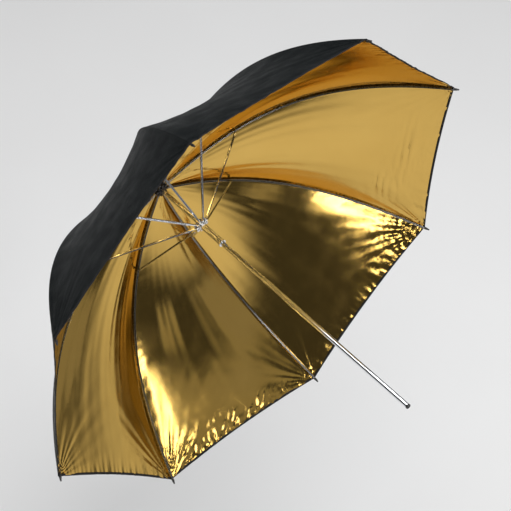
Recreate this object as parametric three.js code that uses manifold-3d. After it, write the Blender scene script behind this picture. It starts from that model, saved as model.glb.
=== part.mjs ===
// Studio umbrella reflector: eight curved ribs on a slim shaft, a sliding runner with eight
// stretchers, and a lined canopy made of eight gores, each sewn along a rib on both sides.
// Millimetres. The shaft lies along Y, the crown is at +Y and the bowl opens towards -Y.
// The origin is the point on the shaft axis where a lamp holder grips the shaft.

import * as THREE from "three";
import { mergeVertices } from "three/addons/utils/BufferGeometryUtils.js";
import Module from "manifold-3d";

const wasm = await Module();
wasm.setup();

// ---- Driving dimensions ----------------------------------------------------------------

const RIB_COUNT = 8;
const FIRST_RIB_AZIMUTH = Math.PI / RIB_COUNT;   // from +X towards +Z, so no rib points straight up

const OPENING_RADIUS = 452;       // shaft axis to the rim, along a rib
const BOWL_DEPTH = 252;           // rib hinges to the plane of the rim
const GRIP_TO_HINGES = 450;       // grip point to the rib hinges
const GRIP_TO_SHAFT_END = 137;    // grip point to the flat end of the shaft

const ROOT_HANDLE = 0.43;         // how far the rib runs straight out from the crown, share of the radius
const ROOT_DROP = 2.4;            // fall of the rib over that length
const TIP_HANDLE = 0.5;           // length of the rib's end tangent, share of the radius
const TIP_SLOPE = 1.008;          // slope of the rib at the rim, radians

const SHAFT_RADIUS = 4;
const SHAFT_WALL = 0.8;
const SHAFT_TOP = 12;             // shaft beyond the rib hinges

const RIB_HINGE_RADIUS = 9;
const RIB_WIDTH = 3.2;
const RIB_HEIGHT = 3.4;
const RIB_WALL = 0.6;
const RIB_STEPS = 12;             // flat stretches of a rib, and of the canopy along it
const EYE_RADIUS = 2.2;
const EYE_HOLE_RADIUS = 0.95;
const EYE_PLATE = 2.2;            // thickness of the flat eyes at the rib and stretcher roots
const EYE_REACH = 17;             // how far an eye plate runs into its channel
const TANG_RADIUS = 0.9;          // round pin at the rib's end, inside the tip
const TANG_LENGTH = 6;
const TANG_ROOT = 2;              // solid end of the channel that carries the pin

const TIP_RADIUS = 2.3;
const TIP_LENGTH = 9.5;
const TIP_STRAIGHT = 0.3;         // share of the tip's length that keeps its full radius
const TIP_WAIST = 0.6;            // share of the length at the waist
const TIP_WAIST_RADIUS = 0.72;    // share of the radius there
const TIP_END_RADIUS = 0.45;

const JOINT_ALONG_RIB = 0.28;     // stretcher joint, share of the rib's length from the crown
const JOINT_BELOW_RIB = 5;        // rivet centre below the rib's centre line
const LUG_THICKNESS = 1.4;
const RIVET_RADIUS = 0.7;
const RIVET_HEAD_RADIUS = 1.5;
const RIVET_HEAD = 0.6;

const STRETCHER_WIDTH = 3.7;
const STRETCHER_HEIGHT = 3;
const STRETCHER_WALL = 0.8;

const RUNNER_HINGE_RADIUS = 9.5;
const RUNNER_DROP = 103;          // rib hinges to the runner hinges with the umbrella open
const SLEEVE_RADIUS = 5.6;
const SLEEVE_LENGTH = 50;
const SLEEVE_LIP_RADIUS = 6.8;
const SLEEVE_LIP = 3;

const NOTCH_RADIUS = 12.5;        // outer radius of the two notched discs
const NOTCH_WIDTH = 3.6;          // lets the rib's channel swing into the crown's notch
const WIRE_RADIUS = 0.6;
const WIRE_GROOVE = 1.8;
const WIRE_GROOVE_DEPTH = 0.95;   // groove floor inside the wire's centre line
const CROWN_BELOW = 5;            // crown disc below the hinge circle
const CROWN_ABOVE = 2.2;
const RUNNER_DISC_HALF = 4;

const CANOPY_OFFSET = 3.2;        // middle of the canopy outside the rib's centre line
const CANOPY_THICKNESS = 0.8;
const CANOPY_SAG = 15;            // how far the middle of a gore is pulled in towards the bowl
const CANOPY_SCALLOP = 0.012;     // how much shorter a gore is along its middle, share of its length
const CANOPY_HOLE_RADIUS = 7;
const GORE_COLUMNS = 3;           // flat stretches of half a gore, across it

const WASHER_RADIUS = 11;
const WASHER = 1;
const CAP_BASE_RADIUS = 7.5;
const CAP_HEIGHT = 15;
const CAP_SKIRT = 2;              // straight part of the cap next to the washer
const CAP_SHOULDER_HEIGHT = 8;
const CAP_SHOULDER_RADIUS = 5.5;
const CAP_NECK_RADIUS = 4.5;
const CAP_TOP_RADIUS = 2.5;
const CAP_ROUNDING = 2;           // height of the cap's rounded top

const CATCH_HEIGHT = 2.4;         // catch nose above the shaft's surface
const CATCH_LENGTH = 13;
const CATCH_WIDTH = 2;
const CATCH_LEAF = 0.6;
const CATCH_LEAF_LENGTH = 24;
const CATCH_CREST = 1;            // flat top of the nose, along the shaft

const STOP_PIN_RADIUS = 0.8;
const STOP_PIN_LENGTH = 11;

const PLUG_RADIUS = 4.2;
const PLUG_HEAD = 3;
const PLUG_SPIGOT_RADIUS = 2.9;
const PLUG_SPIGOT = 12;

const GAP = 0.3;                  // room left between pieces that touch on the real object
const BORE_GAP = 0.25;            // room between the shaft and what slides or sits on it

const ROUND_SIDES = 20;           // flat faces round the discs, sleeve, tube and cap
const SMALL_ROUND_SIDES = 8;      // and round the tips, pins and rivets
const WIRE_SIDES = 5;
const WIRE_STEPS = 24;
const PLATE_ARC_STEPS = 5;        // flat stretches of each curve in a plate's outline

// ---- Derived places ----------------------------------------------------------------------

const RIB_STEP = (2 * Math.PI) / RIB_COUNT;
const HINGE_Y = GRIP_TO_HINGES;
const RIM_Y = HINGE_Y - BOWL_DEPTH;
const RUNNER_Y = HINGE_Y - RUNNER_DROP;
const SLEEVE_END_Y = RUNNER_Y - RUNNER_DISC_HALF - SLEEVE_LENGTH;
const BORE_RADIUS = SHAFT_RADIUS + BORE_GAP;

const ribCurve = new THREE.CubicBezierCurve3(
  new THREE.Vector3(RIB_HINGE_RADIUS, HINGE_Y, 0),
  new THREE.Vector3(RIB_HINGE_RADIUS + ROOT_HANDLE * OPENING_RADIUS, HINGE_Y - ROOT_DROP, 0),
  new THREE.Vector3(
    OPENING_RADIUS * (1 - TIP_HANDLE * Math.cos(TIP_SLOPE)),
    RIM_Y + TIP_HANDLE * OPENING_RADIUS * Math.sin(TIP_SLOPE),
    0,
  ),
  new THREE.Vector3(OPENING_RADIUS, RIM_Y, 0),
);

// The side of the rib that the canopy lies on, at a share of the rib's length.
function ribNormal(along) {
  const tangent = ribCurve.getTangentAt(along);
  return new THREE.Vector3(-tangent.y, tangent.x, 0);
}

function pointBelowRib(along, depth) {
  return ribCurve.getPointAt(along).addScaledVector(ribNormal(along), -depth);
}

// Where the rib's channel starts, and the ends of its flat stretches, as shares of its length.
const ROOT_SHARE = (NOTCH_RADIUS + 1 - RIB_HINGE_RADIUS) / ribCurve.getLength();
const STATIONS = Array.from(
  { length: RIB_STEPS + 1 },
  (_, step) => ROOT_SHARE + ((1 - ROOT_SHARE) * step) / RIB_STEPS,
);

const RIB_JOINT = pointBelowRib(JOINT_ALONG_RIB, JOINT_BELOW_RIB);
const RUNNER_JOINT = new THREE.Vector3(RUNNER_HINGE_RADIUS, RUNNER_Y, 0);

// ---- Solids ------------------------------------------------------------------------------

function solidOf(geometry) {
  const bare = geometry.clone();
  bare.deleteAttribute("normal");
  bare.deleteAttribute("uv");
  const merged = mergeVertices(bare, 1e-4);
  return new wasm.Manifold(new wasm.Mesh({
    numProp: 3,
    vertProperties: new Float32Array(merged.attributes.position.array),
    triVerts: new Uint32Array(merged.index.array),
  }));
}

function geometryOf(solid) {
  const mesh = solid.getMesh();
  const geometry = new THREE.BufferGeometry();
  geometry.setAttribute("position", new THREE.BufferAttribute(new Float32Array(mesh.vertProperties), 3));
  geometry.setIndex(new THREE.BufferAttribute(new Uint32Array(mesh.triVerts), 1));
  geometry.computeVertexNormals();
  return geometry;
}

function join(...geometries) {
  return geometries.map(solidOf).reduce((whole, part) => whole.add(part));
}

function box(low, high) {
  const size = high.clone().sub(low);
  const middle = high.clone().add(low).multiplyScalar(0.5);
  return new THREE.BoxGeometry(size.x, size.y, size.z).translate(middle.x, middle.y, middle.z);
}

// A body turned about the shaft: its outline is a closed loop of [radius, y] points.
function ring(outline) {
  const points = [...outline, outline[0]].map(([radius, y]) => new THREE.Vector2(radius, y));
  return new THREE.LatheGeometry(points, ROUND_SIDES);
}

// A body turned about the shaft whose outline starts and ends on the axis.
function turned(outline, sides = ROUND_SIDES) {
  return new THREE.LatheGeometry(outline.map(([radius, y]) => new THREE.Vector2(radius, y)), sides);
}

// A flat plate in the rib's plane, centred on that plane unless moved sideways.
function plate(shape, thickness, sideways = 0) {
  const options = { depth: thickness, bevelEnabled: false, curveSegments: PLATE_ARC_STEPS };
  return new THREE.ExtrudeGeometry(shape, options).translate(0, 0, sideways - thickness / 2);
}

function discShape(x, y, radius) {
  const shape = new THREE.Shape();
  shape.absarc(x, y, radius, 0, 2 * Math.PI, false);
  return shape;
}

// A straight bar in the rib's plane from one point to another.
function barShape(from, to, height) {
  const side = to.clone().sub(from).normalize();
  const up = new THREE.Vector3(-side.y, side.x, 0).multiplyScalar(height / 2);
  return new THREE.Shape([
    new THREE.Vector2(from.x - up.x, from.y - up.y),
    new THREE.Vector2(to.x - up.x, to.y - up.y),
    new THREE.Vector2(to.x + up.x, to.y + up.y),
    new THREE.Vector2(from.x + up.x, from.y + up.y),
  ]);
}

function crossHole(x, y, radius) {
  return solidOf(plate(discShape(x, y, radius), 4 * EYE_PLATE));
}

// ---- Materials ---------------------------------------------------------------------------

const finishes = {
  chrome: { color: 0xc9cbd0, roughness: 0.18, metalness: 1 },
  steel: { color: 0x9a9da3, roughness: 0.3, metalness: 1 },
  black_plastic: { color: 0x111214, roughness: 0.45, metalness: 0 },
  canopy_fabric: { color: 0x14181b, roughness: 0.7, metalness: 0 },
};

const umbrella = new THREE.Group();

function addPart(name, geometry, finish, azimuth = 0) {
  const mesh = new THREE.Mesh(geometry, new THREE.MeshStandardMaterial(finishes[finish]));
  mesh.name = name;
  mesh.rotation.y = -azimuth;
  umbrella.add(mesh);
}

// ---- Shaft -------------------------------------------------------------------------------

function shaftTube() {
  const low = PLUG_HEAD + GAP - GRIP_TO_SHAFT_END;
  const high = HINGE_Y + SHAFT_TOP;
  const inner = SHAFT_RADIUS - SHAFT_WALL;
  const tube = solidOf(ring([[inner, low], [SHAFT_RADIUS, low], [SHAFT_RADIUS, high], [inner, high]]));
  const half = CATCH_WIDTH / 2 + GAP;
  const catchSlot = solidOf(box(
    new THREE.Vector3(-half, SLEEVE_END_Y - 2 * GAP - CATCH_LENGTH, SHAFT_RADIUS / 2),
    new THREE.Vector3(half, SLEEVE_END_Y, 2 * SHAFT_RADIUS),
  ));
  const pinHole = solidOf(stopPinRod(STOP_PIN_RADIUS + GAP, 4 * SHAFT_RADIUS));
  return geometryOf(tube.subtract(catchSlot).subtract(pinHole));
}

function stopPinRod(radius, length) {
  const y = RUNNER_Y + RUNNER_DISC_HALF + GAP + STOP_PIN_RADIUS;
  const rod = new THREE.CylinderGeometry(radius, radius, length, SMALL_ROUND_SIDES);
  return rod.rotateZ(Math.PI / 2).translate(0, y, 0);
}

function shaftEndPlug() {
  const end = -GRIP_TO_SHAFT_END;
  return turned([
    [0, end],
    [PLUG_RADIUS, end],
    [PLUG_RADIUS, end + PLUG_HEAD],
    [PLUG_SPIGOT_RADIUS, end + PLUG_HEAD],
    [PLUG_SPIGOT_RADIUS, end + PLUG_HEAD + PLUG_SPIGOT],
    [0, end + PLUG_HEAD + PLUG_SPIGOT],
  ]);
}

// The catch: a wedge through the shaft's slot, on a leaf that lies inside the tube.
// Its square shoulder meets the end of the runner's sleeve.
function shaftCatch() {
  const shoulder = SLEEVE_END_Y - GAP;
  const leafTop = SHAFT_RADIUS - SHAFT_WALL - 2 * GAP;
  const nose = new THREE.Shape([
    new THREE.Vector2(shoulder, leafTop - CATCH_LEAF / 2),
    new THREE.Vector2(shoulder, SHAFT_RADIUS + CATCH_HEIGHT),
    new THREE.Vector2(shoulder - CATCH_CREST, SHAFT_RADIUS + CATCH_HEIGHT),
    new THREE.Vector2(shoulder - CATCH_LENGTH, leafTop - CATCH_LEAF / 2),
  ]);
  const wedge = new THREE.ExtrudeGeometry(nose, { depth: CATCH_WIDTH, bevelEnabled: false });
  wedge.translate(0, 0, -CATCH_WIDTH / 2);
  wedge.applyMatrix4(new THREE.Matrix4().makeBasis(
    new THREE.Vector3(0, 1, 0), new THREE.Vector3(0, 0, 1), new THREE.Vector3(1, 0, 0),
  ));
  const leaf = box(
    new THREE.Vector3(-CATCH_WIDTH / 2, shoulder - CATCH_LEAF_LENGTH, leafTop - CATCH_LEAF),
    new THREE.Vector3(CATCH_WIDTH / 2, shoulder - GAP, leafTop),
  );
  return geometryOf(join(wedge, leaf));
}

// ---- Crown and runner: notched discs with a wire in a groove --------------------------------

function notches(hingeRadius, low, high) {
  const inner = hingeRadius - EYE_RADIUS - 2 * GAP;
  const bar = box(
    new THREE.Vector3(inner, low - 1, -NOTCH_WIDTH / 2),
    new THREE.Vector3(NOTCH_RADIUS + 1, high + 1, NOTCH_WIDTH / 2),
  );
  const cuts = [];
  for (let k = 0; k < RIB_COUNT; k += 1) {
    cuts.push(solidOf(bar.clone().rotateY(-(FIRST_RIB_AZIMUTH + k * RIB_STEP))));
  }
  return cuts.reduce((whole, cut) => whole.add(cut));
}

function grooveOutline(hingeRadius, hingeY, low, high, outer) {
  const floor = hingeRadius - WIRE_GROOVE_DEPTH;
  return [
    [outer, low],
    [outer, hingeY - WIRE_GROOVE / 2],
    [floor, hingeY - WIRE_GROOVE / 2],
    [floor, hingeY + WIRE_GROOVE / 2],
    [outer, hingeY + WIRE_GROOVE / 2],
    [outer, high],
  ];
}

function crownHub() {
  const low = HINGE_Y - CROWN_BELOW;
  const high = HINGE_Y + CROWN_ABOVE;
  const rim = grooveOutline(RIB_HINGE_RADIUS, HINGE_Y, low, high, NOTCH_RADIUS);
  const disc = solidOf(ring([[BORE_RADIUS, low], ...rim, [BORE_RADIUS, high]]));
  return geometryOf(disc.subtract(notches(RIB_HINGE_RADIUS, low, high)));
}

function runnerSleeve() {
  const low = RUNNER_Y - RUNNER_DISC_HALF;
  const high = RUNNER_Y + RUNNER_DISC_HALF;
  const rim = grooveOutline(RUNNER_HINGE_RADIUS, RUNNER_Y, low, high, NOTCH_RADIUS);
  const outline = [
    [BORE_RADIUS, SLEEVE_END_Y],
    [SLEEVE_LIP_RADIUS, SLEEVE_END_Y],
    [SLEEVE_LIP_RADIUS, SLEEVE_END_Y + SLEEVE_LIP],
    [SLEEVE_RADIUS, SLEEVE_END_Y + SLEEVE_LIP],
    [SLEEVE_RADIUS, low],
    ...rim,
    [BORE_RADIUS, high],
  ];
  return geometryOf(solidOf(ring(outline)).subtract(notches(RUNNER_HINGE_RADIUS, low, high)));
}

function hingeWire(radius, y) {
  const wire = new THREE.TorusGeometry(radius, WIRE_RADIUS, WIRE_SIDES, WIRE_STEPS);
  return wire.rotateX(Math.PI / 2).translate(0, y, 0);
}

// ---- Crown cap ---------------------------------------------------------------------------

const canopyTopY = HINGE_Y + CANOPY_OFFSET + CANOPY_THICKNESS / 2;
const WASHER_Y = canopyTopY + GAP;

function crownWasher() {
  const high = WASHER_Y + WASHER;
  return ring([
    [BORE_RADIUS, WASHER_Y],
    [WASHER_RADIUS, WASHER_Y],
    [WASHER_RADIUS, high],
    [BORE_RADIUS, high],
  ]);
}

function crownCap() {
  const base = WASHER_Y + WASHER + GAP;
  const bore = HINGE_Y + SHAFT_TOP + GAP;
  return turned([
    [0, bore],
    [BORE_RADIUS, bore],
    [BORE_RADIUS, base],
    [CAP_BASE_RADIUS, base],
    [CAP_BASE_RADIUS, base + CAP_SKIRT],
    [CAP_SHOULDER_RADIUS, base + CAP_SHOULDER_HEIGHT],
    [CAP_NECK_RADIUS, base + CAP_HEIGHT - CAP_ROUNDING],
    [CAP_TOP_RADIUS, base + CAP_HEIGHT],
    [0, base + CAP_HEIGHT],
  ]);
}

// ---- Ribs, tips and stretchers, each made in the plane z = 0 ----------------------------------

// The rib's section, across the rib in x and outwards in y: a channel, open towards the bowl.
function channelShape(width, height, wall) {
  const side = width / 2;
  const half = height / 2;
  return new THREE.Shape([
    new THREE.Vector2(-side, -half),
    new THREE.Vector2(-side + wall, -half),
    new THREE.Vector2(-side + wall, half - wall),
    new THREE.Vector2(side - wall, half - wall),
    new THREE.Vector2(side - wall, -half),
    new THREE.Vector2(side, -half),
    new THREE.Vector2(side, half),
    new THREE.Vector2(-side, half),
  ]);
}

// The stretch of the rib between two shares of its length, as a curve of its own.
class RibStretch extends THREE.Curve {
  constructor(from, to) {
    super();
    this.from = from;
    this.to = to;
  }

  getPoint(t, target = new THREE.Vector3()) {
    return target.copy(ribCurve.getPointAt(this.from + (this.to - this.from) * t));
  }
}

function ribTang() {
  const end = ribCurve.getPointAt(1);
  const direction = ribCurve.getTangentAt(1);
  const middle = end.clone().addScaledVector(direction, TANG_LENGTH / 2 - RIB_WALL);
  const turn = new THREE.Quaternion().setFromUnitVectors(new THREE.Vector3(0, 1, 0), direction);
  const rootMiddle = end.clone().addScaledVector(direction, -TANG_ROOT / 2);
  const root = new THREE.BoxGeometry(RIB_HEIGHT - RIB_WALL, TANG_ROOT, RIB_WIDTH - RIB_WALL);
  root.applyQuaternion(turn).translate(rootMiddle.x, rootMiddle.y, 0);
  const pinLength = TANG_LENGTH + 2 * RIB_WALL;
  const pin = new THREE.CylinderGeometry(TANG_RADIUS, TANG_RADIUS, pinLength, SMALL_ROUND_SIDES);
  pin.applyQuaternion(turn).translate(middle.x, middle.y, 0);
  return [root, pin];
}

function rib() {
  const channel = new THREE.ExtrudeGeometry(channelShape(RIB_WIDTH, RIB_HEIGHT, RIB_WALL), {
    steps: RIB_STEPS,
    bevelEnabled: false,
    extrudePath: new RibStretch(ROOT_SHARE, 1),
  });
  const hinge = ribCurve.getPointAt(0);
  const eye = plate(discShape(hinge.x, hinge.y, EYE_RADIUS), EYE_PLATE);
  const neckEnd = ribCurve.getPointAt(EYE_REACH / ribCurve.getLength());
  const neck = plate(barShape(hinge, neckEnd, RIB_HEIGHT - 2 * GAP), EYE_PLATE);
  const lugRoot = pointBelowRib(JOINT_ALONG_RIB, (RIB_WALL - RIB_HEIGHT) / 2);
  const lugBar = plate(barShape(lugRoot, RIB_JOINT, 2 * EYE_RADIUS - 2 * GAP), LUG_THICKNESS);
  const lugEye = plate(discShape(RIB_JOINT.x, RIB_JOINT.y, EYE_RADIUS - GAP), LUG_THICKNESS);
  const whole = join(channel, eye, neck, lugBar, lugEye, ...ribTang());
  const hingeHole = crossHole(hinge.x, hinge.y, EYE_HOLE_RADIUS);
  const rivetHole = crossHole(RIB_JOINT.x, RIB_JOINT.y, RIVET_RADIUS + GAP);
  return geometryOf(whole.subtract(hingeHole).subtract(rivetHole));
}

function ribTip() {
  const bore = TANG_RADIUS + GAP;
  const boreEnd = TANG_LENGTH + GAP;
  const body = turned([
    [0, boreEnd],
    [bore, boreEnd],
    [bore, 0],
    [TIP_RADIUS, 0],
    [TIP_RADIUS, TIP_LENGTH * TIP_STRAIGHT],
    [TIP_RADIUS * TIP_WAIST_RADIUS, TIP_LENGTH * TIP_WAIST],
    [TIP_RADIUS * TIP_END_RADIUS, TIP_LENGTH],
    [0, TIP_LENGTH],
  ], SMALL_ROUND_SIDES);
  const direction = ribCurve.getTangentAt(1);
  const start = ribCurve.getPointAt(1).addScaledVector(direction, GAP);
  const turn = new THREE.Quaternion().setFromUnitVectors(new THREE.Vector3(0, 1, 0), direction);
  return body.applyQuaternion(turn).translate(start.x, start.y, 0);
}

function rivet() {
  const shank = STRETCHER_WIDTH / 2 + GAP;
  const end = shank + RIVET_HEAD;
  const body = turned([
    [0, -end],
    [RIVET_HEAD_RADIUS, -end],
    [RIVET_HEAD_RADIUS, -shank],
    [RIVET_RADIUS, -shank],
    [RIVET_RADIUS, shank],
    [RIVET_HEAD_RADIUS, shank],
    [RIVET_HEAD_RADIUS, end],
    [0, end],
  ], SMALL_ROUND_SIDES);
  return body.rotateX(Math.PI / 2).translate(RIB_JOINT.x, RIB_JOINT.y, 0);
}

// The stretcher: two thin walls that straddle the rib's lug, a web between them that starts
// past the lug, and a flat eye on the runner's wire.
function stretcher() {
  const run = RUNNER_JOINT.clone().sub(RIB_JOINT);
  const length = run.length();
  const along = run.clone().normalize();
  const towardsRib = new THREE.Vector3(along.y, -along.x, 0);
  const wallEnd = RIB_JOINT.clone().addScaledVector(along, length - NOTCH_RADIUS);
  const webStart = RIB_JOINT.clone().addScaledVector(along, 3 * EYE_RADIUS);
  const eyeStart = RIB_JOINT.clone().addScaledVector(along, length - NOTCH_RADIUS - EYE_REACH / 2);
  const webDepth = (STRETCHER_HEIGHT - STRETCHER_WALL) / 2;
  const wallOffset = (STRETCHER_WIDTH - STRETCHER_WALL) / 2;
  const parts = [];
  for (const side of [-1, 1]) {
    const bar = barShape(RIB_JOINT, wallEnd, STRETCHER_HEIGHT);
    parts.push(plate(bar, STRETCHER_WALL, side * wallOffset));
    const ear = discShape(RIB_JOINT.x, RIB_JOINT.y, EYE_RADIUS - GAP);
    parts.push(plate(ear, STRETCHER_WALL, side * wallOffset));
  }
  const web = barShape(
    webStart.addScaledVector(towardsRib, webDepth),
    wallEnd.clone().addScaledVector(towardsRib, webDepth),
    STRETCHER_WALL,
  );
  parts.push(plate(web, STRETCHER_WIDTH));
  parts.push(plate(barShape(eyeStart, RUNNER_JOINT, STRETCHER_HEIGHT - 2 * GAP), EYE_PLATE));
  parts.push(plate(discShape(RUNNER_JOINT.x, RUNNER_JOINT.y, EYE_RADIUS), EYE_PLATE));
  const rivetHole = crossHole(RIB_JOINT.x, RIB_JOINT.y, RIVET_RADIUS + GAP);
  const wireHole = crossHole(RUNNER_JOINT.x, RUNNER_JOINT.y, EYE_HOLE_RADIUS);
  return geometryOf(join(...parts).subtract(rivetHole).subtract(wireHole));
}

// ---- Canopy --------------------------------------------------------------------------------

// A point of the canopy between a rib (across = 0) and its neighbour (across = 1).
function canopyPoint(along, across, lift) {
  const dip = 4 * across * (1 - across);
  const share = along * (1 - CANOPY_SCALLOP * dip);
  const middle = RIB_STEP / 2;
  const normal = ribNormal(share);
  const onRib = ribCurve.getPointAt(share).addScaledVector(normal, CANOPY_OFFSET);
  const onNext = new THREE.Vector3(onRib.x * Math.cos(RIB_STEP), onRib.y, onRib.x * Math.sin(RIB_STEP));
  const outwards = new THREE.Vector3(normal.x * Math.cos(middle), normal.y, normal.x * Math.sin(middle));
  const sag = CANOPY_SAG * dip * Math.sin(Math.PI * Math.min(along, 1));
  return onRib.lerp(onNext, across).addScaledVector(outwards, lift - sag);
}

// Half a gore, from its rib to the gore's middle line; side is 1 towards rising azimuth.
function halfGore(side) {
  const rows = [0, ...STATIONS];
  const toHole = CANOPY_HOLE_RADIUS / RIB_HINGE_RADIUS;
  const shrink = new THREE.Vector3(toHole, 1, toHole);
  const seam = new THREE.Vector3(0, 0, GAP / 2);
  const middleSeam = new THREE.Vector3(Math.sin(RIB_STEP / 2), 0, -Math.cos(RIB_STEP / 2));
  const positions = [];
  for (const lift of [CANOPY_THICKNESS / 2, -CANOPY_THICKNESS / 2]) {
    for (const along of rows) {
      for (let column = 0; column <= GORE_COLUMNS; column += 1) {
        const point = canopyPoint(along, column / GORE_COLUMNS / 2, lift);
        if (along === 0) point.multiply(shrink);
        if (column === 0) point.add(seam);
        if (column === GORE_COLUMNS) point.addScaledVector(middleSeam, GAP / 2);
        positions.push(point.x, point.y, side * point.z);
      }
    }
  }
  const wide = GORE_COLUMNS + 1;
  const bands = rows.length - 1;
  const layer = rows.length * wide;
  const faces = [];
  const quad = (a, b, c, d) => faces.push(...(side > 0 ? [a, b, c, a, c, d] : [a, c, b, a, d, c]));
  for (let row = 0; row < bands; row += 1) {
    for (let column = 0; column < GORE_COLUMNS; column += 1) {
      const corner = row * wide + column;
      quad(corner, corner + 1, corner + wide + 1, corner + wide);
      quad(layer + corner, layer + corner + wide, layer + corner + wide + 1, layer + corner + 1);
    }
  }
  for (let row = 0; row < bands; row += 1) {
    const first = row * wide;
    const last = first + GORE_COLUMNS;
    quad(first, first + wide, layer + first + wide, layer + first);
    quad(last, layer + last, layer + last + wide, last + wide);
  }
  for (let column = 0; column < GORE_COLUMNS; column += 1) {
    const last = bands * wide + column;
    quad(column, layer + column, layer + column + 1, column + 1);
    quad(last, last + 1, layer + last + 1, layer + last);
  }
  const geometry = new THREE.BufferGeometry();
  geometry.setAttribute("position", new THREE.Float32BufferAttribute(positions, 3));
  geometry.setIndex(faces);
  geometry.computeVertexNormals();
  return geometry;
}

// ---- Assembly ------------------------------------------------------------------------------

addPart("shaft_tube", shaftTube(), "chrome");
addPart("shaft_end_plug", shaftEndPlug(), "black_plastic");
addPart("shaft_catch", shaftCatch(), "steel");
addPart("runner_stop_pin", stopPinRod(STOP_PIN_RADIUS, STOP_PIN_LENGTH), "steel");
addPart("crown_hub", crownHub(), "black_plastic");
addPart("crown_wire", hingeWire(RIB_HINGE_RADIUS, HINGE_Y), "steel");
addPart("crown_washer", crownWasher(), "black_plastic");
addPart("crown_cap", crownCap(), "black_plastic");
addPart("runner_sleeve", runnerSleeve(), "chrome");
addPart("runner_wire", hingeWire(RUNNER_HINGE_RADIUS, RUNNER_Y), "steel");

for (let k = 0; k < RIB_COUNT; k += 1) {
  const azimuth = FIRST_RIB_AZIMUTH + k * RIB_STEP;
  const number = k + 1;
  addPart(`rib_${number}`, rib(), "steel", azimuth);
  addPart(`rib_tip_${number}`, ribTip(), "black_plastic", azimuth);
  addPart(`rib_rivet_${number}`, rivet(), "steel", azimuth);
  addPart(`stretcher_${number}`, stretcher(), "chrome", azimuth);
  addPart(`gore_${number}_left`, halfGore(-1), "canopy_fabric", azimuth);
  addPart(`gore_${number}_right`, halfGore(1), "canopy_fabric", azimuth);
}

export default umbrella;
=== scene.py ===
# The studio umbrella reflector: fabric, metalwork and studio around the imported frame.
# Metres. The shaft lies along Y, the crown is at +Y and the bowl opens towards -Y.

import math

import bmesh
import bpy
import numpy as np
from mathutils import Matrix, Quaternion, Vector


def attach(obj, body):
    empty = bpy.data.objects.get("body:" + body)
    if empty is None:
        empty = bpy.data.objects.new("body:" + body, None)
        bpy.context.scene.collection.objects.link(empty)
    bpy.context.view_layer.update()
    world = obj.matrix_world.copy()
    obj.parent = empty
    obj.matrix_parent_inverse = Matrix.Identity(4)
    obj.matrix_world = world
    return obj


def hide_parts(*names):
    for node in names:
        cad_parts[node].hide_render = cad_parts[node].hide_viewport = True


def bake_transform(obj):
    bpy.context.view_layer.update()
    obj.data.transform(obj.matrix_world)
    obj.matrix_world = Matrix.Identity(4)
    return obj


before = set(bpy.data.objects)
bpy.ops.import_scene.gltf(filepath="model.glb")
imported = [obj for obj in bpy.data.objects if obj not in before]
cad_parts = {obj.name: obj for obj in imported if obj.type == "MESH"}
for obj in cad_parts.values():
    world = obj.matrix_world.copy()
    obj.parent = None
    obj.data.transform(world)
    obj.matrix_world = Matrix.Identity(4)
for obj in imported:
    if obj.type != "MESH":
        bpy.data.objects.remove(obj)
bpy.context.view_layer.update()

# ---- Driving dimensions, the same as the frame's ----

RIB_COUNT = 8
RIB_STEP = 2 * math.pi / RIB_COUNT
FIRST_RIB_AZIMUTH = RIB_STEP / 2

OPENING_RADIUS = 0.452
BOWL_DEPTH = 0.252
HINGE_Y = 0.450
SHAFT_END_Y = -0.137
RIM_Y = HINGE_Y - BOWL_DEPTH

ROOT_HANDLE = 0.43
ROOT_DROP = 0.0024
TIP_HANDLE = 0.5
TIP_SLOPE = 1.008

RIB_HINGE_RADIUS = 0.009
RIB_WIDTH = 0.0032
RIB_HEIGHT = 0.0034
RIB_WALL = 0.0006
CHANNEL_FOLD = 0.0009             # outer radius of the folds of a rib's or stretcher's channel
JOINT_ALONG_RIB = 0.28
JOINT_BELOW_RIB = 0.005

RUNNER_HINGE_RADIUS = 0.0095
RUNNER_Y = HINGE_Y - 0.103

GAP = 0.0003
SHAFT_RADIUS = 0.004
SHAFT_WALL = 0.0008
SHAFT_TOP = 0.012
BORE_RADIUS = SHAFT_RADIUS + 0.00025
PLUG_RADIUS = 0.0042
PLUG_HEAD = 0.003
PLUG_SPIGOT_RADIUS = 0.0029
PLUG_SPIGOT = 0.012

EYE_RADIUS = 0.0022
EYE_HOLE_RADIUS = 0.00095
EYE_PLATE = 0.0022
EYE_REACH = 0.017
PAST_EYE_HOLE = 0.0014
TANG_RADIUS = 0.0009
TANG_LENGTH = 0.006
TANG_ROOT = 0.002
TIP_RADIUS = 0.0023
TIP_LENGTH = 0.0095
TIP_WAIST = (0.0021, 0.0028)
TIP_WAIST_RADIUS = TIP_RADIUS * 0.82
LUG_THICKNESS = 0.0014
RIVET_RADIUS = 0.0007
RIVET_HEAD_RADIUS = 0.0015
RIVET_HEAD = 0.0006
STRETCHER_WIDTH = 0.0037
STRETCHER_HEIGHT = 0.003
STRETCHER_WALL = 0.0008
EAR_INSET = 0.00003               # keeps the ears' faces off the channel's

NOTCH_RADIUS = 0.0125
NOTCH_WIDTH = 0.0036
WIRE_RADIUS = 0.0006
WIRE_GAP = 0.02                   # angle from the ring's joint to each end of the wire
WIRE_GROOVE = 0.0018
WIRE_GROOVE_DEPTH = 0.00095
CROWN_BELOW = 0.005
CROWN_ABOVE = 0.0022
RUNNER_DISC_HALF = 0.004
SLEEVE_RADIUS = 0.0056
SLEEVE_LIP_RADIUS = 0.0068
SLEEVE_LIP = 0.003
SLEEVE_END_Y = RUNNER_Y - RUNNER_DISC_HALF - 0.050

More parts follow.
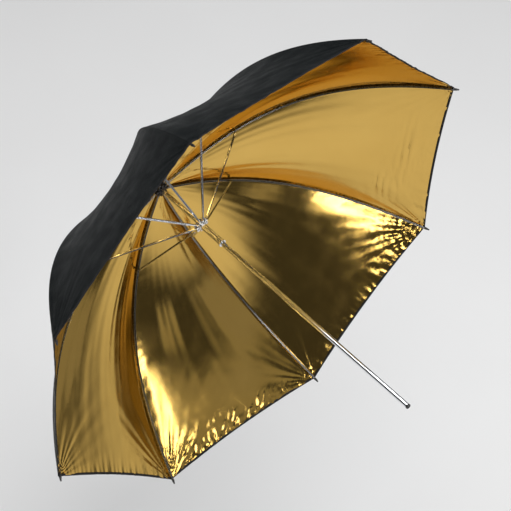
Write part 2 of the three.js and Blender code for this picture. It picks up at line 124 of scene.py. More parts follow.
WASHER_RADIUS = 0.011
WASHER = 0.001
WASHER_Y = HINGE_Y + 0.0036 + GAP
CAP_BASE_RADIUS = 0.0075
CAP_HEIGHT = 0.015
CAP_SKIRT = 0.002
CAP_SHOULDER_HEIGHT = 0.008
CAP_SHOULDER_RADIUS = 0.0055
CAP_NECK_RADIUS = 0.0045
CAP_TOP_RADIUS = 0.0025
CAP_ROUNDING = 0.002

CATCH_HEIGHT = 0.0024
CATCH_LENGTH = 0.013
CATCH_WIDTH = 0.002
CATCH_LEAF = 0.0006
CATCH_LEAF_LENGTH = 0.024
CATCH_CREST = 0.001
CATCH_CORNER = 0.0004
CATCH_BEND_RADIUS = 0.002
CATCH_BEND_ANGLE = 0.45
STOP_PIN_RADIUS = 0.0008
STOP_PIN_LENGTH = 0.011

# How far the edges of flat plates are rounded.
LEAF_EDGE = 0.0001
EAR_EDGE = 0.00015
PLATE_EDGE = 0.0002
EYE_EDGE = 0.00025

# Seams and thread: the folded strip along each rib, and the stitches.
SEAM_HALF_WIDTH = 0.0032
SEAM_LIFT = 0.00265
SEAM_THICKNESS = 0.00045
SEAM_SHARES = (0.022, 0.995)      # where the seam starts and ends, as shares of the rib
STITCH_SHARES = (0.03, 0.985)
STITCH_PITCH = 0.0034
STITCH_FROM_SEAM = 0.0021
THREAD_RADIUS = 0.00017
HEM_STITCH_INSIDE = 0.0022
HEM_HALF = 0.00055
HEM_REACH = 0.0035
HEM_BEYOND = 0.0005
HEM_ROUND = 0.0003

# Fabric: where it lies over the rib's centre line, and how it is pulled.
OUTER_LIFT = 0.0034
LINING_LIFT = 0.0028
CLOTH = 0.0002
CLOTH_MIDDLE = (OUTER_LIFT + LINING_LIFT) / 2
SAG = 0.015
SCALLOP = 0.012
ROWS = 120
COLUMNS = 52
RIM_CROWDING = 1.35               # how much closer together the rows lie towards the rim
THREAD_PITCH = 0.000222817           # between two threads of the weave
WAVE_BANDS = 10 / math.pi         # bands in a metre of Blender's wave texture at scale 1

# How high each kind of wrinkle stands.
BROAD_WAVE = 0.0020
DRAWN_FOLD = 0.0007
HEM_PUCKER = 0.0012
CRUMPLE = 0.0019
CREASE = 0.0018
SEAM_PUCKER = 0.0005
TIP_FAN = 0.0014
CROWN_PLEAT = 0.0010

# Where the foil is crumpled along the hem, by gore (0 lies between ribs 1 and 2): the place across
# the gore, how far it spreads, how deep it reaches from the rim in metres, and how strong it is.
CRUMPLED = {
    4: [(0.95, 0.3, 0.03, 0.5)],
    5: [(0.3, 0.35, 0.035, 1.2), (0.8, 0.3, 0.025, 0.7)],
    6: [(0.93, 0.12, 0.06, 1.2), (0.72, 0.16, 0.03, 0.5), (0.3, 0.3, 0.02, 0.5)],
    7: [(0.1, 0.25, 0.03, 0.6), (0.75, 0.2, 0.02, 0.4)],
}
CRUMPLED_ELSEWHERE = [(0.2, 0.3, 0.03, 0.5), (0.85, 0.25, 0.025, 0.4)]
# Creases that run along the hem, inside it: place, spread, distance from the rim, strength.
CREASED = {7: [(0.5, 0.22, 0.05, 1.0), (0.24, 0.12, 0.085, 0.8)]}

# The rosette: its rings as (radius, how much of the frill shows there), and the frill.
ROSETTE_RINGS = [(0.0060, 0.0), (0.0095, 0.1), (0.0118, 0.5), (0.0138, 1.0)]
ROSETTE_Y = HINGE_Y + OUTER_LIFT + 0.00035
ROSETTE_SLOPE = 0.1
ROSETTE_FRILL = 0.0003
ROSETTE_WOBBLE = 0.0004
ROSETTE_PLEATS = 24
ROSETTE_THICKNESS = 0.00025

# ---- The rib's curve ----

CONTROLS = np.array([
    (RIB_HINGE_RADIUS, HINGE_Y),
    (RIB_HINGE_RADIUS + ROOT_HANDLE * OPENING_RADIUS, HINGE_Y - ROOT_DROP),
    (
        OPENING_RADIUS * (1 - TIP_HANDLE * math.cos(TIP_SLOPE)),
        RIM_Y + TIP_HANDLE * OPENING_RADIUS * math.sin(TIP_SLOPE),
    ),
    (OPENING_RADIUS, RIM_Y),
])


def bezier(t):
    t = np.asarray(t, float)[..., None]
    a, b, c, d = CONTROLS
    return (1 - t) ** 3 * a + 3 * (1 - t) ** 2 * t * b + 3 * (1 - t) * t * t * c + t ** 3 * d


def bezier_slope(t):
    t = np.asarray(t, float)[..., None]
    a, b, c, d = CONTROLS
    slope = 3 * (1 - t) ** 2 * (b - a) + 6 * (1 - t) * t * (c - b) + 3 * t * t * (d - c)
    return slope / np.linalg.norm(slope, axis=-1, keepdims=True)


CURVE_T = np.linspace(0, 1, 2001)
CURVE_LENGTHS = np.concatenate([
    [0], np.cumsum(np.linalg.norm(np.diff(bezier(CURVE_T), axis=0), axis=1)),
])
RIB_LENGTH = float(CURVE_LENGTHS[-1])


def curve_t(share):
    """Bezier parameter at a share of the rib's length."""
    return np.interp(np.asarray(share, float) * RIB_LENGTH, CURVE_LENGTHS, CURVE_T)


def rib_point(share):
    """(radius, y) on the rib's centre line, carried straight on past its end."""
    share = np.asarray(share, float)
    beyond = np.maximum(share - 1, 0)[..., None] * RIB_LENGTH
    return bezier(curve_t(np.clip(share, 0, 1))) + beyond * rib_slope(share)


def rib_slope(share):
    return bezier_slope(curve_t(np.clip(share, 0, 1)))


def rib_normal(share):
    """The side of the rib that the canopy lies on, as (radial, y)."""
    slope = rib_slope(share)
    return np.stack([-slope[..., 1], slope[..., 0]], -1)


def azimuth_of(rib):
    return FIRST_RIB_AZIMUTH + rib * RIB_STEP


def around(points, azimuth):
    """Turns (radial, y, tangential) points to a rib's azimuth, in the row frame."""
    points = np.asarray(points, float)
    c, s = math.cos(azimuth), math.sin(azimuth)
    radial, y, tangential = points[..., 0], points[..., 1], points[..., 2]
    return np.stack([radial * c - tangential * s, y, radial * s + tangential * c], -1)


# ---- Mesh helpers ----

def new_object(name, vertices, faces, material):
    mesh = bpy.data.meshes.new(name)
    mesh.from_pydata([tuple(v) for v in vertices], [], faces)
    mesh.materials.append(material)
    for polygon in mesh.polygons:
        polygon.use_smooth = True
    mesh.update()
    obj = bpy.data.objects.new(name, mesh)
    bpy.context.scene.collection.objects.link(obj)
    return obj


def grid_faces(rows, columns, flip=False):
    faces = []
    for row in range(rows - 1):
        for column in range(columns - 1):
            a = row * columns + column
            face = (a, a + 1, a + columns + 1, a + columns)
            faces.append(face[::-1] if flip else face)
    return faces


# ---- Shader helpers ----

class Shader:
    """A material's node tree with short calls for its nodes."""

    def __init__(self, name, **settings):
        self.material = bpy.data.materials.new(name)
        self.material.use_nodes = True
        self.nodes = self.material.node_tree.nodes
        self.links = self.material.node_tree.links
        self.principled = self.nodes["Principled BSDF"]
        for key, value in settings.items():
            self.principled.inputs[key].default_value = value

    def node(self, kind, properties=(), **inputs):
        made = self.nodes.new(kind)
        for key, value in dict(properties).items():
            setattr(made, key, value)
        for key, value in inputs.items():
            self.feed(made.inputs[key.replace("_", " ")], value)
        return made

    def feed(self, socket, value):
        if isinstance(value, bpy.types.NodeSocket):
            self.links.new(value, socket)
        else:
            socket.default_value = value

    def product(self, a, b):
        made = self.node("ShaderNodeMath", {"operation": "MULTIPLY"})
        self.feed(made.inputs[0], a)
        self.feed(made.inputs[1], b)
        return made.outputs[0]

    def remap(self, value, low, high, to_low, to_high):
        made = self.node(
            "ShaderNodeMapRange", {"interpolation_type": "SMOOTHSTEP"}, Value=value,
            From_Min=low, From_Max=high, To_Min=to_low, To_Max=to_high,
        )
        return made.outputs["Result"]

    def noise(self, coordinates, scale, detail=3.0, roughness=0.5, distortion=0.0):
        made = self.node(
            "ShaderNodeTexNoise", Vector=coordinates, Scale=scale, Detail=detail,
            Roughness=roughness, Distortion=distortion,
        )
        return made.outputs["Fac"]

    def wave(self, coordinates, scale, direction):
        made = self.node(
            "ShaderNodeTexWave", {"wave_type": "BANDS", "bands_direction": direction},
            Vector=coordinates, Scale=scale,
        )
        return made.outputs["Fac"]

    def colours(self, value, low, high):
        mix = {"data_type": "RGBA"}
        made = self.node("ShaderNodeMix", mix, Factor=value, A=(*low, 1), B=(*high, 1))
        return made.outputs["Result"]

    def bump(self, height, distance, below=None):
        made = self.node("ShaderNodeBump", Height=height, Distance=distance, Strength=1.0)
        if below is not None:
            self.links.new(below, made.inputs["Normal"])
        return made.outputs["Normal"]

    def cloth_coordinates(self):
        """Metres across and along the cut cloth."""
        return self.node("ShaderNodeUVMap", {"uv_map": "cloth"}).outputs["UV"]

    def object_coordinates(self):
        return self.node("ShaderNodeTexCoord").outputs["Object"]

    def set(self, key, value):
        self.feed(self.principled.inputs[key], value)


def weave(shader, cloth):
    """Height of a plain weave: two sets of threads, over and under."""
    scale = 1 / (WAVE_BANDS * THREAD_PITCH)
    return shader.product(shader.wave(cloth, scale, "X"), shader.wave(cloth, scale, "Y"))


def gold_lining():
    shader = Shader("canopy_gold", Metallic=1.0)
    shader.set("Specular Tint", (1.0, 0.88, 0.62, 1))
    cloth = shader.cloth_coordinates()
    tone = shader.noise(cloth, 9.0, 3.0, 0.5)
    shader.set("Base Color", shader.colours(tone, (0.68, 0.44, 0.118), (0.6, 0.375, 0.092)))
    patchy = shader.noise(cloth, 26.0, 4.0, 0.6)
    shader.set("Roughness", shader.remap(patchy, 0.3, 0.7, 0.1, 0.16))
    crinkle = shader.noise(cloth, 70.0, 5.0, 0.6, 0.5)
    threads = shader.bump(weave(shader, cloth), 0.000007)
    shader.set("Normal", shader.bump(crinkle, 0.00008, threads))
    return shader.material


def black_nylon():
    shader = Shader("canopy_black", Metallic=0.0)
    shader.set("Sheen Weight", 0.006)
    shader.set("Sheen Roughness", 0.35)
    shader.set("Sheen Tint", (0.55, 0.72, 0.75, 1))
    shader.set("Specular IOR Level", 0.07)
    cloth = shader.cloth_coordinates()
    tone = shader.noise(cloth, 14.0, 3.0)
    shader.set("Base Color", shader.colours(tone, (0.0036, 0.005, 0.0056), (0.0075, 0.0094, 0.01)))
    shader.set("Roughness", shader.remap(shader.noise(cloth, 30.0, 4.0), 0.3, 0.7, 0.42, 0.55))
    crinkle = shader.noise(cloth, 45.0, 4.0, 0.6, 0.4)
    threads = shader.bump(weave(shader, cloth), 0.0001)
    shader.set("Normal", shader.bump(crinkle, 0.0006, threads))
    return shader.material


def yarn(name, roughness, specular, scale, dark, light, relief):
    """A matt yarn or tape with fine slanting ribs."""
    shader = Shader(name, Metallic=0.0, Roughness=roughness)
    shader.set("Specular IOR Level", specular)
    ribbed = shader.wave(shader.object_coordinates(), scale, "DIAGONAL")
    shader.set("Base Color", shader.colours(ribbed, dark, light))
    shader.set("Normal", shader.bump(ribbed, relief))
    return shader.material


def hem_tape():
    return yarn("hem_tape", 0.7, 0.3, 900.0, (0.006, 0.006, 0.007), (0.018, 0.018, 0.02), 0.0001)


def thread():
    return yarn("thread", 0.6, 0.5, 700.0, (0.012, 0.012, 0.013), (0.035, 0.034, 0.033), 0.00006)


def hard(name, metallic, tone, low, high, grain, roughness, relief, span=(0.3, 0.7)):
    """A hard finish, faintly patchy from one colour to another, with fine marks."""
    shader = Shader(name, Metallic=metallic)
    place = shader.object_coordinates()
    shader.set("Base Color", shader.colours(shader.noise(place, *tone), low, high))
    marks = shader.noise(place, *grain)
    shader.set("Roughness", shader.remap(marks, *span, *roughness))
    shader.set("Normal", shader.bump(marks, relief))
    return shader.material


def chrome():
    return hard(
        "chrome", metallic=1.0, tone=(30.0, 3.0), low=(0.82, 0.83, 0.85), high=(0.72, 0.73, 0.76),
        grain=(240.0, 4.0, 0.7, 1.0), roughness=(0.09, 0.24), relief=0.00004, span=(0.35, 0.75),
    )


def plated_steel():
    return hard(
        "steel", metallic=1.0, tone=(60.0, 4.0), low=(0.17, 0.16, 0.15), high=(0.11, 0.10, 0.095),
        grain=(420.0, 3.0, 0.6), roughness=(0.2, 0.36), relief=0.00005,
    )


def rib_steel():
    """Bare tempered steel, a little dull from handling."""
    return hard(
        "rib_steel", metallic=1.0, tone=(45.0, 4.0), low=(0.34, 0.33, 0.32), high=(0.22, 0.21, 0.2),
        grain=(520.0, 3.0, 0.6), roughness=(0.2, 0.34), relief=0.00005,
    )


def black_plastic():
    return hard(
        "black_plastic", metallic=0.0, tone=(80.0, 3.0),
        low=(0.012, 0.012, 0.013), high=(0.024, 0.024, 0.026),
        grain=(1500.0, 2.0), roughness=(0.34, 0.5), relief=0.00003,
    )


GOLD = gold_lining()
BLACK = black_nylon()
TAPE = hem_tape()
CHROME = chrome()
STEEL = plated_steel()
RIB_STEEL = rib_steel()
THREAD = thread()
PLASTIC = black_plastic()


# ---- Canopy ----

def canopy_surface(share, across, lift):
    """Points of the stretched canopy between a rib (across 0) and the next (across 1)."""
    share, across = np.broadcast_arrays(np.asarray(share, float), np.asarray(across, float))
    dip = 4 * across * (1 - across)
    station = share * (1 - SCALLOP * dip)
    normal = rib_normal(station)
    edge = rib_point(station) + normal * OUTER_LIFT
    radial = edge[..., 0] * (1 - across + across * math.cos(RIB_STEP))
    tangential = edge[..., 0] * across * math.sin(RIB_STEP)
    out = lift - OUTER_LIFT - SAG * dip * np.sin(math.pi * np.clip(share, 0, 1))
    middle = RIB_STEP / 2
    return np.stack([
        radial + normal[..., 0] * math.cos(middle) * out,
        edge[..., 1] + normal[..., 1] * out,
        tangential + normal[..., 0] * math.sin(middle) * out,
    ], -1)


def way_out(share, across, lift):
    """How a point of the canopy moves as its lift grows: a step of length 1, away from the bowl."""
    step = 0.001
    return (canopy_surface(share, across, lift + step) - canopy_surface(share, across, lift)) / step


def value_noise(x, y, seed):
    """Smooth gradient noise between about -0.7 and 0.7, the same for the same place and seed."""
    x, y = np.broadcast_arrays(np.asarray(x, float), np.asarray(y, float))
    column, row = np.floor(x).astype(np.int64), np.floor(y).astype(np.int64)
    fx, fy = x - column, y - row

    def corner(dx, dy):
        mixed = ((column + dx) * 374761393 + (row + dy) * 668265263 + seed * 974634777) & 0xFFFFFFFF
        mixed = ((mixed ^ (mixed >> 13)) * 1274126177) & 0xFFFFFFFF
        angle = (mixed ^ (mixed >> 16)) / 2 ** 32 * 2 * math.pi
        return np.cos(angle) * (fx - dx) + np.sin(angle) * (fy - dy)

    u = fx ** 3 * (fx * (6 * fx - 15) + 10)
    v = fy ** 3 * (fy * (6 * fy - 15) + 10)
    low = corner(0, 0) * (1 - u) + corner(1, 0) * u
    high = corner(0, 1) * (1 - u) + corner(1, 1) * u
    return low * (1 - v) + high * v


def ridges(x, y, seed):
    """Sharp creases between flat facets, about 0.4 on a crease and 0 on average."""
    return 0.4 - 2 * np.abs(value_noise(x, y, seed))


def ripple(share, across, gore):
    """How far the cloth stands off its smooth shape, in metres, over a whole gore."""
    share, across = np.broadcast_arrays(np.asarray(share, float), np.asarray(across, float))
    from_rim = (1 - share) * RIB_LENGTH
    width = rib_point(share)[..., 0] * RIB_STEP
    x = across * width
    side = np.minimum(across, 1 - across) * width
    seed = 40 * gore

    broad = BROAD_WAVE * value_noise(x * 6.5, from_rim * 2.6, seed + 1)
    drawn = DRAWN_FOLD * value_noise(across * 12, from_rim * 3, seed + 2)
    drawn = drawn * np.sin(math.pi * np.clip(share, 0, 1))

    hem = np.exp(-from_rim / 0.014)
    puckers = HEM_PUCKER * hem * value_noise(x * 90 + from_rim * 9, from_rim * 20, seed + 3)
    crumple = np.zeros_like(x)
    for middle, spread, depth, strength in CRUMPLED.get(gore, CRUMPLED_ELSEWHERE):
        patch = np.exp(-((across - middle) / spread) ** 2 - (from_rim / depth) ** 2)
        facets = ridges(x * 26 + from_rim * 15, from_rim * 17, seed + 4)
        facets = facets + 0.35 * ridges(x * 66 - from_rim * 24, from_rim * 50, seed + 5)
        crumple = crumple + CRUMPLE * strength * patch * facets
    for middle, spread, inside, strength in CREASED.get(gore, ()):
        patch = np.exp(-((across - middle) / spread) ** 2 - ((from_rim - inside) / 0.028) ** 2)
        crumple = crumple + CREASE * strength * patch * ridges(x * 12, from_rim * 80, seed + 6)

    seam = SEAM_PUCKER * np.exp(-side / 0.010) * value_noise(from_rim * 75, side * 45, seed + 7)
    fans = 0
    for tip, at in enumerate((across * width, (1 - across) * width)):
        reach = np.hypot(at, from_rim)
        angle = np.arctan2(at, from_rim + 0.004)
        fan = value_noise(angle * 6.5, reach * 5, seed + 8 + tip)
        fans = fans + TIP_FAN * np.exp(-reach / 0.085) * fan

    pleats = value_noise(across * 9, share * 9, seed + 10)
    crown = CROWN_PLEAT * np.exp(-(RIB_LENGTH - from_rim) / 0.06) * pleats
    hold = 1 - np.exp(-(side / 0.005) ** 2)
    return (broad + drawn + puckers + crumple + seam + fans + crown) * hold


def draped(share, across, lift, gore):
    """The canopy's surface with its wrinkles, and its unit normal away from the bowl."""
    step = 2e-4

    def place(s, a):
        return canopy_surface(s, a, lift) + way_out(s, a, lift) * ripple(s, a, gore)[..., None]

    along = place(share + step, across) - place(share - step, across)
    over = place(share, across + step) - place(share, across - step)
    normal = np.cross(over, along)
    normal /= np.maximum(np.linalg.norm(normal, axis=-1, keepdims=True), 1e-12)
    return place(share, across), normal


def shell_faces(rows, columns, flip):
    """Quads of a thin closed shell: a front grid, a back grid and the walls between their edges."""
    layer = rows * columns
    faces = grid_faces(rows, columns, flip) + [
        tuple(layer + i for i in face) for face in grid_faces(rows, columns, not flip)
    ]
    at = np.arange(layer).reshape(rows, columns)
    border = np.concatenate([at[0], at[1:, -1], at[-1, -2::-1], at[-2:0:-1, 0]]).tolist()
    for here, there in zip(border, border[1:] + border[:1]):
        wall = (here, layer + here, layer + there, there)
        faces.append(wall[::-1] if flip else wall)
    return faces


def half_canopy(name, rib, side, lift, material):
    """Half a gore from its rib (column 0) to the gore's middle, as a thin closed shell."""
    gore = gore_beside(rib, side)
    shares = 1 - (1 - np.linspace(0, 1, ROWS + 1)) ** RIM_CROWDING
    half = np.linspace(0, 0.5, COLUMNS + 1)
    share, across = np.meshgrid(shares, half, indexing="ij")
    whole = across if side > 0 else 1 - across
    points, normals = draped(share, whole, lift, gore)
    home = azimuth_of(gore)
    points, normals = around(points, home), around(normals, home)
    front, back = points + normals * CLOTH / 2, points - normals * CLOTH / 2
    rows, columns = share.shape
    vertices = np.concatenate([front.reshape(-1, 3), back.reshape(-1, 3)])
    obj = new_object(name, vertices, shell_faces(rows, columns, side < 0), material)
    shading = np.concatenate([normals.reshape(-1, 3), -normals.reshape(-1, 3)])
    obj.data.normals_split_custom_set_from_vertices([tuple(n) for n in shading])
    width = rib_point(share)[..., 0] * RIB_STEP
    flat = np.stack([whole * width + 0.5 * gore, share * RIB_LENGTH + 0.13 * gore], -1)
    lay_out_cloth(obj, np.tile(flat.reshape(-1, 2), (2, 1)))
    return obj


def lay_out_cloth(obj, flat):
    """Stores where each corner lies on the cut cloth, in metres, from the place of each vertex."""
    corner_vertex = np.empty(len(obj.data.loops), int)
    obj.data.loops.foreach_get("vertex_index", corner_vertex)
    layer = obj.data.uv_layers.new(name="cloth")
    layer.data.foreach_set("uv", flat[corner_vertex].ravel())


def vertices_of(obj):
    return np.array([v.co for v in obj.data.vertices])


def half_tag(rib, side):
    return f"{rib + 1}_right" if side > 0 else f"{rib + 1}_left"


def gore_beside(rib, side):
    """The gore on one side of a rib. Gore 0 lies between ribs 1 and 2."""
    return rib if side > 0 else (rib - 1) % RIB_COUNT


def bend_with_fold(piece):
    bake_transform(piece)


def canopy():
    for rib in range(RIB_COUNT):
        for side in (-1, 1):
            tag = half_tag(rib, side)
            outer = half_canopy(f"canopy_outer_{tag}", rib, side, OUTER_LIFT, BLACK)
            lining = half_canopy(f"canopy_lining_{tag}", rib, side, LINING_LIFT, GOLD)
            for piece in (outer, lining):
                bend_with_fold(piece)
            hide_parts(f"gore_{tag}")
            hem(rib, side)


def hem(rib, side):
    """The folded tape that binds the rim, half a gore long."""
    corners = [
        (-HEM_REACH, -HEM_HALF), (HEM_BEYOND, -HEM_HALF), (HEM_BEYOND + HEM_ROUND, 0),
        (HEM_BEYOND, HEM_HALF), (-HEM_REACH, HEM_HALF),
    ]
    gore = gore_beside(rib, side)
    half = np.linspace(0, 0.5, 2 * COLUMNS + 1)
    whole = half if side > 0 else 1 - half
    height = ripple(1.0, whole, gore)
    rings = []
    for along, lift in corners:
        share = 1 + along / RIB_LENGTH
        out = way_out(share, whole, CLOTH_MIDDLE)
        rings.append(canopy_surface(share, whole, CLOTH_MIDDLE) + out * (lift + height)[:, None])
    body, azimuth = swept(np.stack(rings, 1)), azimuth_of(gore)
    piece = together(f"hem_{half_tag(rib, side)}", [body], TAPE, sharp=180, azimuth=azimuth)
    bend_with_fold(piece)
    hem_stitches(rib, side, gore, whole)


def hem_stitches(rib, side, gore, whole):
    """A row of stitches through the hem, on both faces of the tape."""
    share = 1 - HEM_STITCH_INSIDE / RIB_LENGTH
    out = way_out(share, whole, CLOTH_MIDDLE)
    line = canopy_surface(share, whole, CLOTH_MIDDLE) + out * ripple(1.0, whole, gore)[:, None]
    rows = [stitch_row(line + out * face * HEM_HALF, out * face) for face in (-1, 1)]
    name, azimuth = f"hem_thread_{half_tag(rib, side)}", azimuth_of(gore)
    piece = together(name, rows, THREAD, sharp=80, azimuth=azimuth)
    bend_with_fold(piece)


# ---- Metalwork, shared shapes ----

def arc(x, y, radius, start, end, steps=16):
    """Points of an arc in a flat plane; angles in radians."""
    turn = np.linspace(start, end, steps)
    return [(x + radius * math.cos(a), y + radius * math.sin(a)) for a in turn]


def circle(x, y, radius, steps=28):
    return arc(x, y, radius, 0, 2 * math.pi, steps + 1)[:-1]


def plate(outlines, thickness, edge):
    """A flat plate centred on z = 0, with holes and rounded edges, as vertices and faces."""
    curve = bpy.data.curves.new("plate", "CURVE")
    curve.dimensions = "2D"
    curve.fill_mode = "BOTH"
    curve.extrude = thickness / 2 - edge
    curve.bevel_depth = edge
    curve.bevel_resolution = 1
    curve.offset = -edge
    for outline in outlines:
        spline = curve.splines.new("POLY")
        spline.points.add(len(outline) - 1)
        for point, (x, y) in zip(spline.points, outline):
            point.co = (x, y, 0, 1)
        spline.use_cyclic_u = True
    obj = bpy.data.objects.new("plate", curve)
    bpy.context.scene.collection.objects.link(obj)
    mesh = bpy.data.meshes.new_from_object(obj.evaluated_get(bpy.context.evaluated_depsgraph_get()))
    vertices = np.array([v.co for v in mesh.vertices])
    faces = [tuple(p.vertices) for p in mesh.polygons]
    bpy.data.objects.remove(obj)
    bpy.data.curves.remove(curve)
    bpy.data.meshes.remove(mesh)
    return vertices, faces


def tube_faces(rings, count, closed_loop=False):
    faces = []
    for ring in range(rings if closed_loop else rings - 1):
        after = (ring + 1) % rings
        for i in range(count):
            j = (i + 1) % count
            faces.append((ring * count + i, ring * count + j, after * count + j, after * count + i))
    if not closed_loop:
        faces.append(tuple(range(count))[::-1])
        faces.append(tuple((rings - 1) * count + i for i in range(count)))
    return faces


def swept(sections):
    """A closed body through sections of equally many points, as vertices and faces."""
    sections = np.asarray(sections, float)
    return sections.reshape(-1, 3), tube_faces(*sections.shape[:2])


def spun(outline, segments=48):
    """A closed body turned about Y from a closed loop of (radius, y), as vertices and faces."""
    turn = np.linspace(0, 2 * math.pi, segments, endpoint=False)[:, None]
    r, y = np.array(outline, float).T
    rings = np.stack([np.cos(turn) * r, np.ones_like(turn) * y, np.sin(turn) * r], -1)
    return rings.reshape(-1, 3), tube_faces(segments, len(outline), closed_loop=True)


def rounded(outline, radius, steps=4):
    """A closed loop of (radius, y) with its corners off the axis rounded."""
    points = [np.array(p, float) for p in outline]
    result = []
    for before, corner, after in zip(points[-1:] + points[:-1], points, points[1:] + points[:1]):
        if corner[0] < 1e-9:
            result.append(tuple(corner))
            continue
        back, on = before - corner, after - corner
        back_length, on_length = np.linalg.norm(back), np.linalg.norm(on)
        reach = min(radius, back_length / 2.2, on_length / 2.2)
        start, end = corner + back / back_length * reach, corner + on / on_length * reach
        for t in np.linspace(0, 1, steps):
            result.append(tuple((1 - t) ** 2 * start + 2 * t * (1 - t) * corner + t * t * end))
    return result


def placed(part, middle, direction):
    """Moves a part made about Y so that Y becomes a direction in the rib's plane."""
    points, faces = part
    x, y = direction
    turn = np.array([(y, -x, 0), (x, y, 0), (0, 0, 1.0)])
    return points @ turn + np.array([*middle, 0]), faces


def shifted(part, z):
    return part[0] + np.array([0, 0, z]), part[1]


def together(name, parts, material, sharp=40, azimuth=0.0):
    """One object from several parts, turned to an azimuth about the shaft."""
    vertices, faces = [], []
    for points, its_faces in parts:
        faces += [tuple(i + len(vertices) for i in face) for face in its_faces]
        vertices += list(around(points, azimuth))
    obj = new_object(name, vertices, faces, material)
    bm = bmesh.new()
    bm.from_mesh(obj.data)
    bmesh.ops.remove_doubles(bm, verts=bm.verts, dist=1e-6)
    bmesh.ops.dissolve_degenerate(bm, edges=bm.edges, dist=1e-7)
    bmesh.ops.recalc_face_normals(bm, faces=bm.faces)
    for edge in bm.edges:
        edge.smooth = edge.calc_face_angle(0) < math.radians(sharp)
    bm.to_mesh(obj.data)
    bm.free()
    return obj


def cut_away(obj, cutter):
    """Cuts the cutter's shape out of obj and deletes the cutter."""
    modifier = obj.modifiers.new("cut", "BOOLEAN")
    modifier.operation = "DIFFERENCE"
    modifier.solver = "EXACT"
    modifier.object = cutter
    graph = bpy.context.evaluated_depsgraph_get()
    finished = bpy.data.meshes.new_from_object(obj.evaluated_get(graph))
    obj.modifiers.clear()
    obj.data = finished
    bpy.data.objects.remove(cutter)


def stand_for(piece, node, body):
    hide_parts(node)
    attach(piece, body)


# ---- Shaft, catch and crown ----

def shaft():
    low, high = SHAFT_END_Y + PLUG_HEAD + GAP, HINGE_Y + SHAFT_TOP
    inner = SHAFT_RADIUS - SHAFT_WALL
    corners = [(inner, low), (SHAFT_RADIUS, low), (SHAFT_RADIUS, high), (inner, high)]
    outline = rounded(corners, 0.0003)
    tube = together("shaft", [spun(outline, 64)], CHROME)
    half = CATCH_WIDTH / 2 + GAP
    slot_low = SLEEVE_END_Y - 2 * GAP - CATCH_LENGTH
    opening = arc(0, SLEEVE_END_Y - half, half, 0, math.pi, 12)
    opening += arc(0, slot_low + half, half, math.pi, 2 * math.pi, 12)
    block = plate([opening], SHAFT_RADIUS, LEAF_EDGE)
    cutter = together("slot", [shifted(block, 1.25 * SHAFT_RADIUS)], CHROME)
    cut_away(tube, cutter)
    stand_for(tube, "shaft_tube", "shaft")


def shaft_plug():
    end = SHAFT_END_Y
    dimple = PLUG_RADIUS * 0.55
    outline = rounded([
        (0, end + 0.0008), (dimple, end + 0.0006), (dimple + 0.0005, end), (PLUG_RADIUS, end),
        (PLUG_RADIUS, end + PLUG_HEAD), (PLUG_SPIGOT_RADIUS, end + PLUG_HEAD),
        (PLUG_SPIGOT_RADIUS, end + PLUG_HEAD + PLUG_SPIGOT), (0, end + PLUG_HEAD + PLUG_SPIGOT),
    ], 0.0006)
    plug = together("end_plug", [spun(outline)], PLASTIC)
    stand_for(plug, "shaft_end_plug", "shaft")


def catch():
    """The wedge through the shaft's slot. Made in the plane across X, its flat side to +-X."""
    shoulder = SLEEVE_END_Y - GAP
    floor = SHAFT_RADIUS - SHAFT_WALL - 2 * GAP - CATCH_LEAF / 2
    crest = SHAFT_RADIUS + CATCH_HEIGHT
    quarter = math.pi / 2
    corner, bend = CATCH_CORNER, CATCH_BEND_RADIUS
    nose = [
        (shoulder, floor), (shoulder, crest - corner),
        *arc(shoulder - corner, crest - corner, corner, 0, quarter, 5),
        *arc(shoulder - CATCH_CREST, crest - bend, bend, quarter, quarter + CATCH_BEND_ANGLE, 6),
        (shoulder - CATCH_LENGTH, floor),
    ]
    points, faces = plate([nose], CATCH_WIDTH, PLATE_EDGE)
    wedge = (points[:, [2, 0, 1]], faces)
    top = floor + CATCH_LEAF / 2
    leaf = [
        (shoulder - CATCH_LEAF_LENGTH, top - CATCH_LEAF), (shoulder - GAP, top - CATCH_LEAF),
        (shoulder - GAP, top), (shoulder - CATCH_LEAF_LENGTH, top),
    ]
    points, faces = plate([leaf], CATCH_WIDTH, LEAF_EDGE)
    piece = together("catch", [wedge, (points[:, [2, 0, 1]], faces)], STEEL)
    stand_for(piece, "shaft_catch", "catch")


def stop_pin():
    """A pin across the shaft with domed ends."""
    y = RUNNER_Y + RUNNER_DISC_HALF + GAP + STOP_PIN_RADIUS
    half, radius = STOP_PIN_LENGTH / 2, STOP_PIN_RADIUS
    dome = radius * 0.6
    quarter = arc(0, 0, 1, 0, math.pi / 2, 7)
    top = [(radius * x, half - dome + dome * up) for x, up in quarter[:-1]] + [(0, half)]
    outline = [(x, -up) for x, up in top[::-1]] + top
    points, faces = spun(outline, 24)
    piece = together("stop_pin", [(points[:, [1, 0, 2]] + np.array([0, y, 0]), faces)], STEEL)
    stand_for(piece, "runner_stop_pin", "shaft")


def notched_layer(hinge_radius, outer, low, high):
    """A disc about Y, notched for the eight eyes, between two heights."""
    half = NOTCH_WIDTH / 2
    floor = hinge_radius - EYE_RADIUS - 2 * GAP
    rim = []
    for k in range(RIB_COUNT):
        here, after = azimuth_of(k), azimuth_of(k + 1)
        c, s = math.cos(here), math.sin(here)
        rim.append((c * floor + s * half, s * floor - c * half))
        rim.append((c * floor - s * half, s * floor + c * half))
        opening = math.asin(half / outer)
        rim += arc(0, 0, outer, here + opening, after - opening, 10)
    points, faces = plate([rim, circle(0, 0, BORE_RADIUS, 48)], high - low, PLATE_EDGE)
    return points[:, [0, 2, 1]] + np.array([0, (low + high) / 2, 0]), faces


